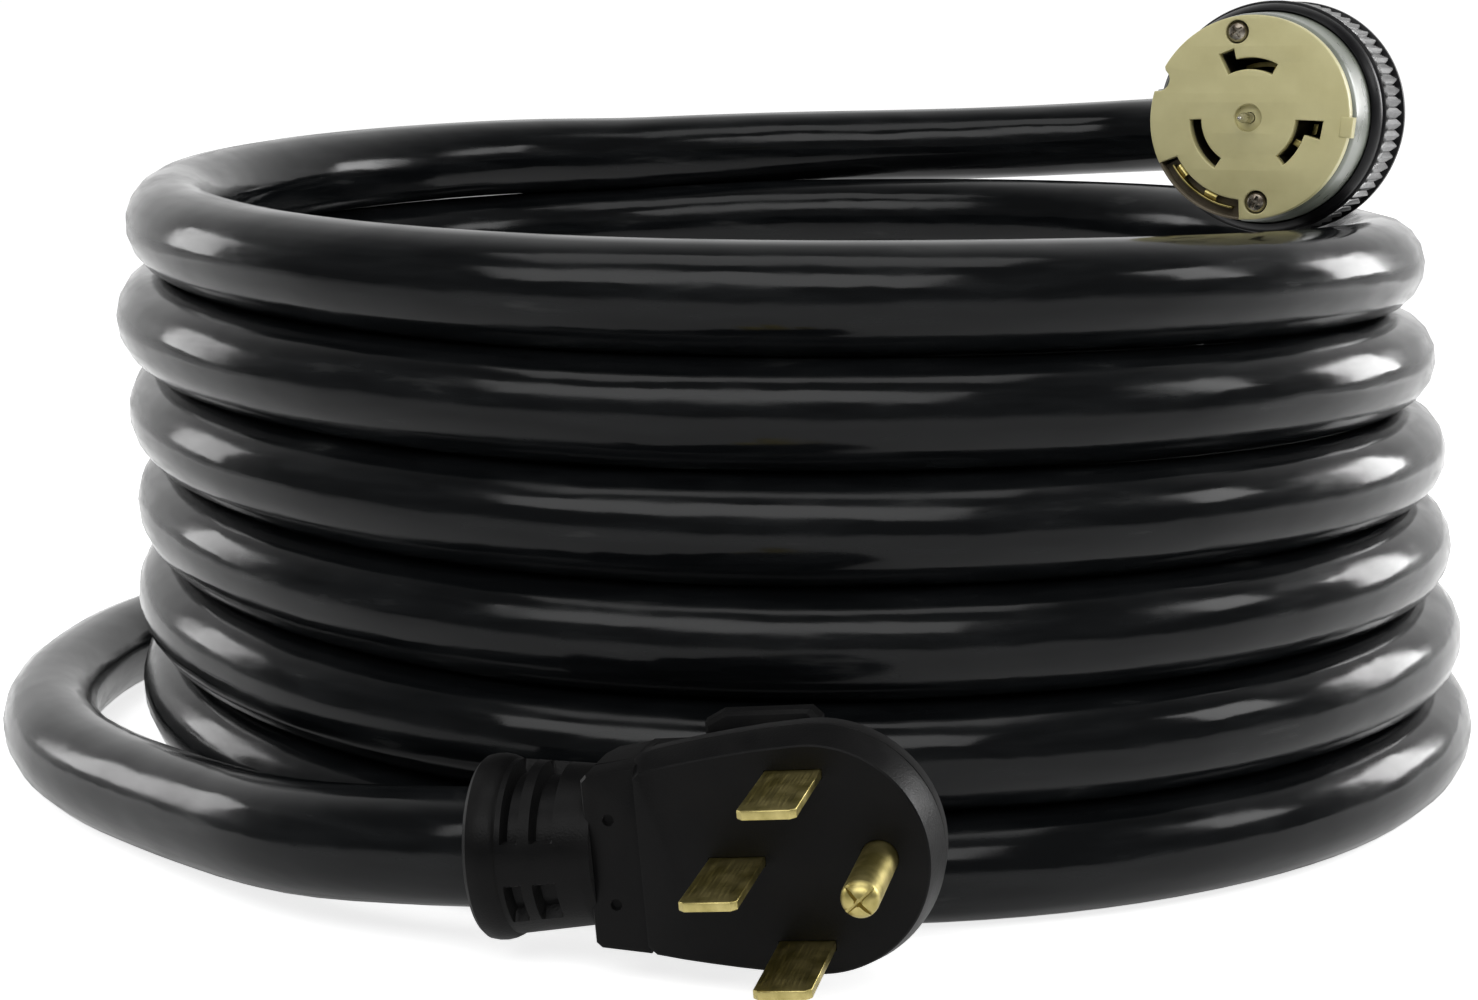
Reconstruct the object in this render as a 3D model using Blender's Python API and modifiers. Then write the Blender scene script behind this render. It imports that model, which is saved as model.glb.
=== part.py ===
"""Shore power cord: a coiled four-conductor cable, a moulded right-angle plug and a locking connector.

The cable is a stack of turns on a flat surface. Its top end runs into the connector, which lies on the
top turn, and its bottom end leaves the stack, goes round its left side on the surface and runs into the
plug, which lies in front of the stack. Units are metres and +Z is up.
"""
import math

import bmesh
import bpy
from mathutils import Matrix, Vector

GAP = 0.0003  # clearance left between touching pieces

# Cable and coil. A turn is counted from the front of the top turn, which is turn 1.
CORD_D = 0.0260
CORD_R = CORD_D / 2
PITCH = CORD_D + GAP  # height of one turn on the next
TURNS = 6
COIL_R = 0.1749  # centreline radius of the top turn
COIL_GROWTH = 0.0019  # radius gained with each turn downwards
COIL_LEAN = 0.00237  # shift towards +X with each turn downwards
BACK_LIFT = 0.00085  # rise at the back right for each turn below
COIL_CENTRE = (0.0072, 0.0332)  # axis of the top turn
TUBE_STEP = 0.052  # distance between the points of a cable tube
TOP_LEAD_START = 14 / 24  # turns at which the top lead comes onto the coil
TOP_LEAD_END = 34 / 24  # turns at which it meets the coil's solid

# Plug: X runs towards the round end, Y into the body, Z up its face.
PLUG_FACE = (0.0052, -0.2360, 0.0318)
PLUG_YAW = math.radians(11.9)
PLUG_ROLL = math.radians(5.5)
PLUG_END_R = 0.0270
PLUG_END_X = 0.0026
PLUG_NECK_X = -0.0470
PLUG_NECK_HALF = 0.0193
SHOULDERS = ((-0.0150, 0.0254), (-0.0270, 0.0235), (-0.0365, 0.0216))  # face's edge, end to neck
SHELL_DEPTH = 0.0106
COVER_DEPTH = 0.0200
HUMP_DEPTH = 0.0312
HUMP_END_X = 0.0180  # foot of the slope that ends the hump
HUMP_SLOPE = 0.0100  # length of the slope
GRIP_HALF = 0.0262  # half height of the finger grip across the hump
GRIP_X = (-0.0240, 0.0015)
GRIP_DEPTH = (0.0250, 0.0310)
WALL = 0.0035
HUMP_WALL = 0.0025
POCKET_END = (PLUG_NECK_X + WALL, PLUG_NECK_HALF)
CORD_AXIS_Y = 0.0160
CORD_END_X = -0.0400
COLLAR_X = -0.0738
COLLAR_R = 0.0205
COLLAR_LENGTH = 0.0070
SLEEVE_R = 0.0176

# Blades of the plug.
BLADE_WIDTH = 0.0121
BLADE_THICK = 0.0020
BLADE_LENGTH = 0.0290
BLADE_TAIL = 0.0150
HOT_OFFSET = 0.0186
NEUTRAL_X = -0.0136
GROUND_X = 0.0168
PIN_R = 0.0040
WIRE_R = 0.0022

# Connector: Z runs out of its face, X to the right of someone who looks at the face, Y up.
FACE_CENTRE = (0.1230, -0.0941, 0.1855)
CONNECTOR_YAW = math.radians(28)
FACE_R = 0.0265
FACE_THICK = 0.0035
CARRIER_R = 0.0242
CARRIER_BACK = 0.0360
BLOCK_BACK = 0.0500
BLOCK_R = 0.0250
CONTACT_BACK = 0.0520
SLEEVE_BACK = 0.0240
BAND_FRONT = 0.0165
KNURL_FRONT = 0.0215
KNURL_BACK = 0.0395
KNURL_R = 0.0304
BODY_BACK = 0.0880
CLAMP_BACK = 0.1020
CABLE_END_Z = -0.0760
SLOT_IN = 0.0124
SLOT_OUT = 0.0154
CONTACT_R = 0.0139
CONTACT_THICK = 0.0014
SHANK_HOLE_R = 0.0018
SCREW_PLACES = ((-0.0037, 0.0219), (0.0029, -0.0216))
NOTCH_R = 0.0211
NOTCH_FROM = math.radians(207)
NOTCH_TO = math.radians(266)
KEY_ANGLE = math.radians(158)
KEY_R = 0.0030

# Slots of the face: start, end and the end of the wide part, clockwise from the top, and its radius.
SLOTS = {
    "x": (-27, 28, -14, 0.0182),
    "y": (92, 141, 106, 0.0196),
    "w": (-147, -92, -147, SLOT_OUT),
}

# Route of the top lead, from the connector's back round to the coil, and of the bottom lead, from the
# coil's back round the left side to the plug. Both are measured from the axis of the top turn.
TOP_ROUTE = (
    (0.1812, 0.0223, 0.1854),
    (0.1846, 0.0484, 0.1847),
    (0.1856, 0.0770, 0.1834),
    (0.1822, 0.1055, 0.1820),
    (0.1716, 0.1318, 0.1802),
    (0.1548, 0.1545, 0.1788),
    (0.1325, 0.1718, 0.1772),
    (0.1065, 0.1823, 0.1756),
    (0.0800, 0.1870, 0.1743),
    (0.0540, 0.1884, 0.1735),
    (0.0300, 0.1870, 0.1729),
    (0.0065, 0.1840, 0.1723),
    (-0.0230, 0.1775, 0.1712),
    (-0.0515, 0.1680, 0.1700),
)
BOTTOM_ROUTE = (
    (-0.1660, 0.1210, 0.0133),
    (-0.1930, 0.0820, 0.0133),
    (-0.2070, 0.0460, 0.0133),
    (-0.2120, 0.0110, 0.0133),
    (-0.2115, -0.0250, 0.0133),
    (-0.2035, -0.0600, 0.0133),
    (-0.1900, -0.0900, 0.0134),
    (-0.1730, -0.1150, 0.0138),
    (-0.1530, -0.1385, 0.0150),
    (-0.1350, -0.1590, 0.0168),
    (-0.1185, -0.1765, 0.0187),
    (-0.1030, -0.1885, 0.0206),
    (-0.0855, -0.1975, 0.0226),
)

COLOURS = {
    "cable_rubber": ((0.012, 0.012, 0.013), 0.32, 0.0),
    "plug_plastic": ((0.022, 0.022, 0.023), 0.62, 0.0),
    "inner_plastic": ((0.05, 0.05, 0.052), 0.6, 0.0),
    "brass": ((0.62, 0.50, 0.24), 0.32, 1.0),
    "cream_nylon": ((0.74, 0.70, 0.50), 0.42, 0.0),
    "grey_nylon": ((0.55, 0.57, 0.52), 0.2, 0.0),
    "body_nylon": ((0.03, 0.03, 0.032), 0.38, 0.0),
    "steel": ((0.6, 0.6, 0.6), 0.3, 1.0),
    "grommet_rubber": ((0.03, 0.03, 0.03), 0.7, 0.0),
    "wire_black": ((0.015, 0.015, 0.015), 0.5, 0.0),
    "wire_red": ((0.55, 0.03, 0.02), 0.5, 0.0),
    "wire_white": ((0.8, 0.8, 0.78), 0.5, 0.0),
    "wire_green": ((0.03, 0.32, 0.08), 0.5, 0.0),
}


# ---- scene and materials -------------------------------------------------------------------------

def clear_scene():
    """Remove every object, so that the script can run in any open file."""
    for obj in list(bpy.data.objects):
        bpy.data.objects.remove(obj, do_unlink=True)


def new_collection(name):
    collection = bpy.data.collections.new(name)
    bpy.context.scene.collection.children.link(collection)
    return collection


def new_material(name):
    """Make a plain Principled material from the colour table."""
    colour, roughness, metallic = COLOURS[name]
    material = bpy.data.materials.new(name)
    material.use_nodes = True
    shader = material.node_tree.nodes["Principled BSDF"]
    shader.inputs["Base Color"].default_value = (*colour, 1.0)
    shader.inputs["Roughness"].default_value = roughness
    shader.inputs["Metallic"].default_value = metallic
    return material


clear_scene()
PARTS = new_collection("shore_power_cord")
CUTTERS = new_collection("cutters")
MATERIALS = {name: new_material(name) for name in COLOURS}


# ---- makers --------------------------------------------------------------------------------------

def empty(name, location, rotation=(0, 0, 0), parent=None):
    """An axis cross that the pieces of one assembly hang on."""
    obj = bpy.data.objects.new(name, None)
    obj.location = location
    obj.rotation_euler = rotation
    obj.parent = parent
    PARTS.objects.link(obj)
    return obj


def add_object(name, data, finish, parent, location=(0, 0, 0), rotation=(0, 0, 0)):
    """Link new data as an object of the part, or as a cutter where it has no finish."""
    obj = bpy.data.objects.new(name, data)
    obj.location = location
    obj.rotation_euler = rotation
    obj.parent = parent
    if finish is None:
        obj.hide_render = True
        obj.display_type = "WIRE"
        CUTTERS.objects.link(obj)
    else:
        data.materials.append(MATERIALS[finish])
        PARTS.objects.link(obj)
    return obj


def turned(name, profile, finish, parent, steps=32, closed=False, **place):
    """Revolve (radius, height) points about Z. They run top to bottom down the outer side."""
    mesh = bpy.data.meshes.new(name)
    edges = [(i, i + 1) for i in range(len(profile) - 1)]
    if closed:
        edges.append((len(profile) - 1, 0))
    mesh.from_pydata([(radius, 0, height) for radius, height in profile], edges, [])
    obj = add_object(name, mesh, finish, parent, **place)
    screw = obj.modifiers.new("turn", "SCREW")
    screw.axis = "Z"
    screw.angle = 2 * math.pi
    screw.steps = steps
    screw.render_steps = steps
    screw.use_merge_vertices = True
    screw.merge_threshold = 0.00001
    screw.use_smooth_shade = True
    return obj


def plate(name, loops, thickness, finish, parent, **place):
    """A flat outline in XY, with holes where there is more than one loop, and its thickness along Z."""
    curve = bpy.data.curves.new(name, "CURVE")
    curve.dimensions = "2D"
    curve.fill_mode = "BOTH"
    curve.extrude = thickness / 2
    for loop in loops:
        spline = curve.splines.new("POLY")
        spline.points.add(len(loop) - 1)
        for point, (x, y) in zip(spline.points, loop):
            point.co = (x, y, 0, 1)
        spline.use_cyclic_u = True
    return add_object(name, curve, finish, parent, **place)


def tube(name, points, radius, finish, parent, resolution=2):
    """A round cable or wire along a list of points."""
    curve = bpy.data.curves.new(name, "CURVE")
    curve.dimensions = "3D"
    curve.bevel_depth = radius
    curve.bevel_resolution = resolution
    curve.use_fill_caps = True
    spline = curve.splines.new("POLY")
    spline.points.add(len(points) - 1)
    for point, place in zip(spline.points, points):
        point.co = (*place, 1)
    return add_object(name, curve, finish, parent)


def box(name, low, high, finish, parent):
    """A block between two corners."""
    bm = bmesh.new()
    bmesh.ops.create_cube(bm, size=1)
    size = [b - a for a, b in zip(low, high)]
    middle = [(a + b) / 2 for a, b in zip(low, high)]
    bmesh.ops.scale(bm, vec=size, verts=bm.verts)
    bmesh.ops.translate(bm, vec=middle, verts=bm.verts)
    mesh = bpy.data.meshes.new(name)
    bm.to_mesh(mesh)
    bm.free()
    return add_object(name, mesh, finish, parent)


def as_mesh(obj):
    """Turn a curve or turned object into a welded mesh object of the same name and place."""
    bpy.context.view_layer.update()
    evaluated = obj.evaluated_get(bpy.context.evaluated_depsgraph_get())
    mesh = bpy.data.meshes.new_from_object(evaluated)
    bm = bmesh.new()
    bm.from_mesh(mesh)
    bmesh.ops.remove_doubles(bm, verts=bm.verts, dist=0.00001)
    bmesh.ops.recalc_face_normals(bm, faces=bm.faces)
    bm.to_mesh(mesh)
    bm.free()
    name = obj.name
    solid = bpy.data.objects.new(name + "_mesh", mesh)
    solid.parent = obj.parent
    solid.location = obj.location
    solid.rotation_euler = obj.rotation_euler
    solid.hide_render = obj.hide_render
    solid.display_type = obj.display_type
    for collection in obj.users_collection:
        collection.objects.link(solid)
    bpy.data.objects.remove(obj, do_unlink=True)
    solid.name = name
    return solid


def boolean(obj, cutter, operation="DIFFERENCE"):
    modifier = obj.modifiers.new(operation.lower(), "BOOLEAN")
    modifier.operation = operation
    modifier.solver = "EXACT"
    modifier.object = cutter


def shade_round(obj):
    """Smooth shading that keeps the edges of a turned or cut piece sharp."""
    obj.data.shade_smooth()
    obj.data.set_sharp_from_angle(angle=math.radians(35))


# ---- outlines ------------------------------------------------------------------------------------

def arc(centre, radius, start, end, count):
    """Points on an arc about a centre, from one angle to another, in radians."""
    points = []
    for i in range(count + 1):
        angle = start + (end - start) * i / count
        points.append((centre[0] + radius * math.cos(angle), centre[1] + radius * math.sin(angle)))
    return points


def rectangle(centre, width, height):
    x, y = centre
    w, h = width / 2, height / 2
    return [(x - w, y - h), (x + w, y - h), (x + w, y + h), (x - w, y + h)]


def plug_outline(inset=0.0, shoulders=SHOULDERS, end=(PLUG_NECK_X, PLUG_NECK_HALF)):
    """The plug's face: a round end that narrows over its shoulders to a straight end at the neck."""
    radius = PLUG_END_R - inset
    points = arc((PLUG_END_X, 0), radius, math.radians(-95), math.radians(95), 24)
    upper = [(x, half - inset) for x, half in (*shoulders, end)]
    lower = [(x, -half) for x, half in reversed(upper)]
    return points + upper + lower


def clock(radius, degrees):
    """A point of the connector's face, by its angle clockwise from the top."""
    angle = math.radians(90 - degrees)
    return (radius * math.cos(angle), radius * math.sin(angle))


def slot_outline(start, end, wide_end, wide_r, inner=SLOT_IN, outer=SLOT_OUT, grow=0.0):
    """A curved slot, with a wider part that runs from its start to wide_end."""
    steps = 8
    span = [start + (end - start) * i / steps for i in range(steps + 1)]
    inside = [clock(inner - grow, a) for a in span]
    outside = [clock(outer + grow, a) for a in reversed(span) if a > wide_end]
    if wide_end > start:
        outside += [clock(outer + grow, wide_end), clock(wide_r, wide_end), clock(wide_r, start)]
    else:
        outside.append(clock(outer + grow, start))
    return inside + outside


def notched_circle(radius, notch_r, key_r=0.0):
    """A disc with the wide notch for the ground strip, and a half-round key notch where key_r is set."""
    points = arc((0, 0), radius, NOTCH_TO, NOTCH_FROM + 2 * math.pi, 44)
    if key_r:
        key = (radius * math.cos(KEY_ANGLE), radius * math.sin(KEY_ANGLE))
        points = [p for p in points if math.dist(p, key) > key_r]
        before = KEY_ANGLE - math.radians(8)
        split = min(range(len(points)), key=lambda i: abs(angle_of(points[i]) - before)) + 1
        facing = KEY_ANGLE + math.pi
        hollow = sorted(arc(key, key_r, facing + 1.5, facing - 1.5, 8), key=angle_of)
        points[split:split] = in_rim_order(points[split - 1], hollow)
    return points + arc((0, 0), notch_r, NOTCH_FROM + 0.06, NOTCH_TO - 0.06, 8)


def angle_of(point):
    return math.atan2(point[1], point[0]) % (2 * math.pi)


def in_rim_order(before, points):
    """The points of a hollow, with the end that is nearer to the rim point before it first."""
    return points if math.dist(before, points[0]) < math.dist(before, points[-1]) else points[::-1]


# ---- cable ---------------------------------------------------------------------------------------

def coil_point(turn):
    """Centre of the cable at a place in the stack. Each turn goes from the front round the right side to
    the back, where it rises a little, and comes down by one pitch on the left side."""
    whole = math.floor(turn + 1e-9)
    part = turn - whole
    drop = 0.0
    if part > 0.5:
        drop = (1 - math.cos(2 * math.pi * (part - 0.5))) / 2
    radius = COIL_R + COIL_GROWTH * (turn - 1)
    angle = 2 * math.pi * part
    x = COIL_LEAN * (turn - 1) + radius * math.sin(angle)
    y = -radius * math.cos(angle)
    lift = 0.0
    if 0.25 < part < 0.56:
        lift = BACK_LIFT * (TURNS - turn) * math.sin(math.pi * (part - 0.25) / 0.31)
    return Vector((x, y, CORD_R + GAP + PITCH * (TURNS - whole - drop) + lift))


def smooth_curve(points, step):
    """Even points on the Catmull-Rom curve through the given points."""
    points = [Vector(p) for p in points]
    ends = [2 * points[0] - points[1]] + points + [2 * points[-1] - points[-2]]
    fine = [points[0]]
    for a, b, c, d in zip(ends, ends[1:], ends[2:], ends[3:]):
        for i in range(1, 17):
            t = i / 16
            fine.append(0.5 * (2 * b + (c - a) * t + (2 * a - 5 * b + 4 * c - d) * t ** 2
                               + (3 * b - a - 3 * c + d) * t ** 3))
    lengths = [0.0]
    for a, b in zip(fine, fine[1:]):
        lengths.append(lengths[-1] + (b - a).length)
    count = max(2, round(lengths[-1] / step))
    even = []
    for i in range(count + 1):
        target = lengths[-1] * i / count
        k = next(j for j in range(1, len(lengths)) if lengths[j] >= target - 1e-9)
        share = (target - lengths[k - 1]) / (lengths[k] - lengths[k - 1])
        even.append(fine[k - 1].lerp(fine[k], share))
    return even


def placed(parent, points):
    """Points of an assembly's own frame, in the frame of the coil."""
    bpy.context.view_layer.update()
    matrix = COIL.matrix_world.inverted() @ parent.matrix_world
    return [matrix @ Vector(p) for p in points]


def make_top_lead():
    """The cable from inside the connector, round the back and the left, over one turn of the coil."""
    inside = placed(CONNECTOR, [(0, 0, CABLE_END_Z), (0, 0, -CLAMP_BACK - 0.0020)])
    turns = [TOP_LEAD_START + i / 24 for i in range(round((TOP_LEAD_END - TOP_LEAD_START) * 24) + 1)]
    route = inside[1:] + [Vector(p) for p in TOP_ROUTE] + [coil_point(t) for t in turns]
    points = [inside[0]] + smooth_curve(route, TUBE_STEP)
    tube("cable_top_lead", points, CORD_R - GAP / 2, "cable_rubber", COIL, resolution=3)


def make_bottom_lead():
    """The cable that leaves the foot of the coil and goes round its left side to the plug."""
    inside = placed(PLUG, [(x, CORD_AXIS_Y, 0) for x in (COLLAR_X - 0.0040, CORD_END_X)])
    route = [Vector(p) for p in BOTTOM_ROUTE] + inside[:1]
    points = smooth_curve(route, TUBE_STEP * 0.6) + inside[1:]
    tube("cable_bottom_lead", points, CORD_R - GAP / 2, "cable_rubber", COIL, resolution=3)


def make_coil():
    """The turned ring that the lower turns fill, a little wider at its foot and leaning like the stack."""
    height = (TURNS - 1) * PITCH
    edge = CORD_R * 0.45

    def wall(z, side):
        turn = TURNS - (z - CORD_R) / PITCH
        return COIL_R + COIL_GROWTH * (turn - 1) + side * CORD_R

    outer = [(wall(height, 1) - edge, height), (wall(height - edge, 1), height - edge),
             (wall(edge, 1), edge), (wall(0, 1) - edge, 0)]
    inner = [(wall(0, -1) + edge, 0), (wall(edge, -1), edge),
             (wall(height - edge, -1), height - edge), (wall(height, -1) + edge, height)]
    ring = as_mesh(turned("cable_coil", outer + inner, "cable_rubber", COIL, steps=72, closed=True))
    lean = Matrix.Identity(4)
    lean[0][2] = -COIL_LEAN / PITCH
    lean[0][3] = COIL_LEAN * (TURNS - 1 + CORD_R / PITCH)
    ring.data.transform(lean)
    shade_round(ring)


# ---- plug ----------------------------------------------------------------------------------------

FLAT = (math.pi / 2, 0, 0)  # stands a plate up in the face plane, its thickness along Y
ALONG_X = (0, math.pi / 2, 0)  # lays a turned piece along X


def blade_places():
    return {
        "hot_blade_x": (0, HOT_OFFSET),
        "hot_blade_y": (0, -HOT_OFFSET),
        "neutral_blade": (NEUTRAL_X, 0),
    }


def blade_holes(clearance):
    """Loops of the four openings that the blades and the pin pass through."""
    holes = [rectangle(place, BLADE_WIDTH + 2 * clearance, BLADE_THICK + 2 * clearance)
             for place in blade_places().values()]
    holes.append(arc((GROUND_X, 0), PIN_R + clearance, 0, 2 * math.pi * 23 / 24, 23))
    return holes


def cord_bore(name, x_from, x_to, radius):
    """A cutter along the cable's axis through the neck."""
    profile = [(0, x_to), (radius, x_to), (radius, x_from), (0, x_from)]
    return turned(name, profile, None, PLUG, steps=32, location=(0, CORD_AXIS_Y, 0), rotation=ALONG_X)


def make_front_shell():
    """The half with the face: a tray that is open at its back."""
    loops = [plug_outline()] + blade_holes(GAP)
    shell = as_mesh(plate("plug_front_shell", loops, SHELL_DEPTH, "plug_plastic", PLUG,
                          location=(0, SHELL_DEPTH / 2, 0), rotation=FLAT))
    depth = SHELL_DEPTH
    pocket = plate("cut_front_pocket", [plug_outline(WALL, end=POCKET_END)], depth, None, PLUG,
                   location=(0, WALL + depth / 2, 0), rotation=FLAT)
    boolean(shell, as_mesh(pocket))
    boolean(shell, cord_bore("cut_front_bore", -0.060, -0.036, CORD_R + GAP))


def make_rear_cover():
    """The half behind the seam, with the hump that holds the cable."""
    front = SHELL_DEPTH + GAP
    depth = COVER_DEPTH - front
    cover = as_mesh(plate("plug_rear_cover", [plug_outline()], depth, "plug_plastic", PLUG,
                          location=(0, front + depth / 2, 0), rotation=FLAT))
    half = PLUG_NECK_HALF
    foot = COVER_DEPTH - 0.0030
    side = [(PLUG_NECK_X, foot), (HUMP_END_X, foot), (HUMP_END_X - HUMP_SLOPE, HUMP_DEPTH),
            (PLUG_NECK_X, HUMP_DEPTH)]
    hump = plate("add_hump", [side], 2 * half, None, PLUG)
    boolean(cover, as_mesh(hump), "UNION")
    grip = box("add_grip", (GRIP_X[0], GRIP_DEPTH[0], -GRIP_HALF), (GRIP_X[1], GRIP_DEPTH[1], GRIP_HALF),
               None, PLUG)
    boolean(cover, grip, "UNION")
    hollow = WALL + 0.0005
    pocket = plate("cut_rear_pocket", [plug_outline(hollow, end=POCKET_END)], depth, None, PLUG,
                   location=(0, front - WALL + depth / 2, 0), rotation=FLAT)
    boolean(cover, as_mesh(pocket))
    room = box("cut_hump_room", (PLUG_NECK_X + WALL, front - GAP, -half + WALL),
               (0.0060, HUMP_DEPTH - HUMP_WALL, half - WALL), None, PLUG)
    boolean(cover, room)
    boolean(cover, cord_bore("cut_rear_bore", -0.060, -0.036, CORD_R + GAP))


def make_strain_relief():
    """The moulded sleeve and collar that the cable comes out of, bored for the cable."""
    bore = CORD_R + GAP
    start = PLUG_NECK_X - GAP
    step = COLLAR_X + COLLAR_LENGTH
    round_off = 0.0020
    profile = [
        (bore, start),
        (SLEEVE_R, start),
        (SLEEVE_R + 0.0014, step + 0.0005),
        (COLLAR_R - round_off, step),
        (COLLAR_R, step - round_off),
        (COLLAR_R, COLLAR_X + round_off),
        (COLLAR_R - round_off, COLLAR_X),
        (bore, COLLAR_X),
    ]
    turned("plug_strain_relief", profile, "plug_plastic", PLUG, steps=40, closed=True,
           location=(0, CORD_AXIS_Y, 0), rotation=ALONG_X)


def make_blade_carrier():
    """The stiff insert inside the front shell that holds the blades in their places."""
    front = WALL + GAP
    back = SHELL_DEPTH - 0.0008
    outline = plug_outline(WALL + 2 * GAP, SHOULDERS[:2], (-0.0310, 0.0228))
    plate("plug_blade_carrier", [outline] + blade_holes(GAP), back - front, "inner_plastic", PLUG,
          location=(0, (front + back) / 2, 0), rotation=FLAT)


def make_blades():
    """Three flat blades with clipped tips, and the round ground pin."""
    clip = 0.0022
    half = BLADE_WIDTH / 2
    for name, (x, z) in blade_places().items():
        outline = [(-half, BLADE_TAIL), (-half, clip - BLADE_LENGTH), (clip - half, -BLADE_LENGTH),
                   (half - clip, -BLADE_LENGTH), (half, clip - BLADE_LENGTH), (half, BLADE_TAIL)]
        plate(name, [outline], BLADE_THICK, "brass", PLUG, location=(x, 0, z))
    tip = BLADE_LENGTH - 0.0010
    profile = [(0, tip), (0.0022, tip - 0.0005), (0.0034, tip - 0.0016), (PIN_R, tip - 0.0034),
               (PIN_R, -BLADE_TAIL), (0, -BLADE_TAIL)]
    turned("ground_pin", profile, "brass", PLUG, steps=24, location=(GROUND_X, 0, 0), rotation=FLAT)


def make_plug_wires():
    """Insulated conductors from the end of the cable to the tails of the blades."""
    y = CORD_AXIS_Y
    start = CORD_END_X + 4 * GAP
    edge = BLADE_WIDTH / 2 + 2 * GAP
    routes = {
        "black": ((start, y, 0.0062), (-0.0300, 0.0165, 0.0100), (-0.0180, 0.0140, 0.0155),
                  (-edge, 0.0130, HOT_OFFSET)),
        "red": ((start, y, -0.0062), (-0.0300, 0.0165, -0.0100), (-0.0180, 0.0140, -0.0155),
                (-edge, 0.0130, -HOT_OFFSET)),
        "white": ((start, 0.0122, 0), (-0.0300, 0.0126, 0), (NEUTRAL_X - edge, 0.0128, 0)),
        "green": ((start, 0.0216, 0), (-0.0250, 0.0214, 0), (-0.0080, 0.0180, 0), (0.0020, 0.0130, 0),
                  (GROUND_X - PIN_R - 5 * GAP, 0.0125, 0)),
    }
    for colour, route in routes.items():
        tube("plug_wire_" + colour, route, WIRE_R, "wire_" + colour, PLUG)


# ---- connector -----------------------------------------------------------------------------------

def slot_loops(grow=0.0):
    return [slot_outline(*shape, grow=grow) for shape in SLOTS.values()]


def hole(centre, radius, count=16):
    return arc(centre, radius, 0, 2 * math.pi * (count - 1) / count, count - 1)


def deep_plate(name, loops, front, back, finish):
    """A connector piece of constant section between two depths behind the face."""
    return plate(name, loops, back - front, finish, CONNECTOR, location=(0, 0, -(front + back) / 2))


def make_face_insert():
    """The cream face with its three curved slots, centre hole, screw holes and rim notches."""
    loops = [notched_circle(FACE_R, NOTCH_R, key_r=KEY_R)] + slot_loops()
    loops.append(hole((0, 0), 0.0035, 24))
    loops += [hole(place, 0.0029) for place in SCREW_PLACES]
    deep_plate("connector_face", loops, 0, FACE_THICK, "cream_nylon")


def make_contact_carrier():
    """The insulating body behind the face that the contacts stand in."""
    loops = [notched_circle(CARRIER_R, NOTCH_R - GAP)] + slot_loops()
    loops.append(hole((0, 0), 0.0017))
    loops += [hole(place, SHANK_HOLE_R) for place in SCREW_PLACES]
    deep_plate("connector_contact_carrier", loops, FACE_THICK + GAP, CARRIER_BACK, "cream_nylon")


def contact_loop(name, margin, thick):
    """The section of a curved contact strip, on the middle of its slot."""
    start, end = SLOTS[name][:2]
    span = [start + margin + (end - start - 2 * margin) * i / 8 for i in range(9)]
    inside = [clock(CONTACT_R - thick / 2, a) for a in span]
    outside = [clock(CONTACT_R + thick / 2, a) for a in reversed(span)]
    return inside + outside


def make_contacts():
    """Three curved contact strips, the ground strip in the notch and the centre pin."""
    for name in SLOTS:
        loop = contact_loop(name, 4, CONTACT_THICK)
        deep_plate("connector_contact_" + name, [loop], 0.0075, CONTACT_BACK, "brass")
    strip = (arc((0, 0), 0.0221, math.radians(213), math.radians(259), 8)
             + arc((0, 0), 0.0233, math.radians(259), math.radians(213), 8))
    deep_plate("connector_ground_strip", [strip], 0.0015, 0.0300, "brass")
    tip = 0.0085
    shank = 0.00135
    profile = [(0, tip), (0.0004, tip - 0.0003), (shank, tip - 0.0045), (shank, -0.0300), (0, -0.0300)]
    turned("connector_centre_pin", profile, "steel", CONNECTOR, steps=20)


def make_terminals():
    """The rear block that the contacts end in, with a screw for each of the four conductors."""
    places = [clock(0.0075, 0), clock(0.0075, 117), clock(0.0075, -120), clock(0.0165, 180)]
    loops = [hole((0, 0), BLOCK_R, 40)]
    loops += [contact_loop(name, 3, CONTACT_THICK + 2 * GAP) for name in SLOTS]
    loops += [hole(place, SHANK_HOLE_R) for place in SCREW_PLACES + tuple(places)]
    front = CARRIER_BACK + GAP
    deep_plate("connector_terminal_block", loops, front, BLOCK_BACK, "inner_plastic")
    head = -BLOCK_BACK - GAP
    profile = [(0, -front), (0.0016, -front), (0.0016, head), (0.0030, head), (0.0030, head - 0.0020),
               (0, head - 0.0020)]
    for number, place in enumerate(places, 1):
        turned("connector_terminal_screw_%d" % number, profile, "brass", CONNECTOR, steps=12,
               location=(*place, 0))


def make_front_sleeve():
    """The grey sleeve between the face and the body."""
    front = -(FACE_THICK + GAP)
    profile = [(CARRIER_R + GAP, front), (0.0262, front), (0.0268, front - 0.0006), (0.0274, -BAND_FRONT),
               (0.0274, -SLEEVE_BACK), (CARRIER_R + GAP, -SLEEVE_BACK)]
    turned("connector_front_sleeve", profile, "grey_nylon", CONNECTOR, steps=48, closed=True)


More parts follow.
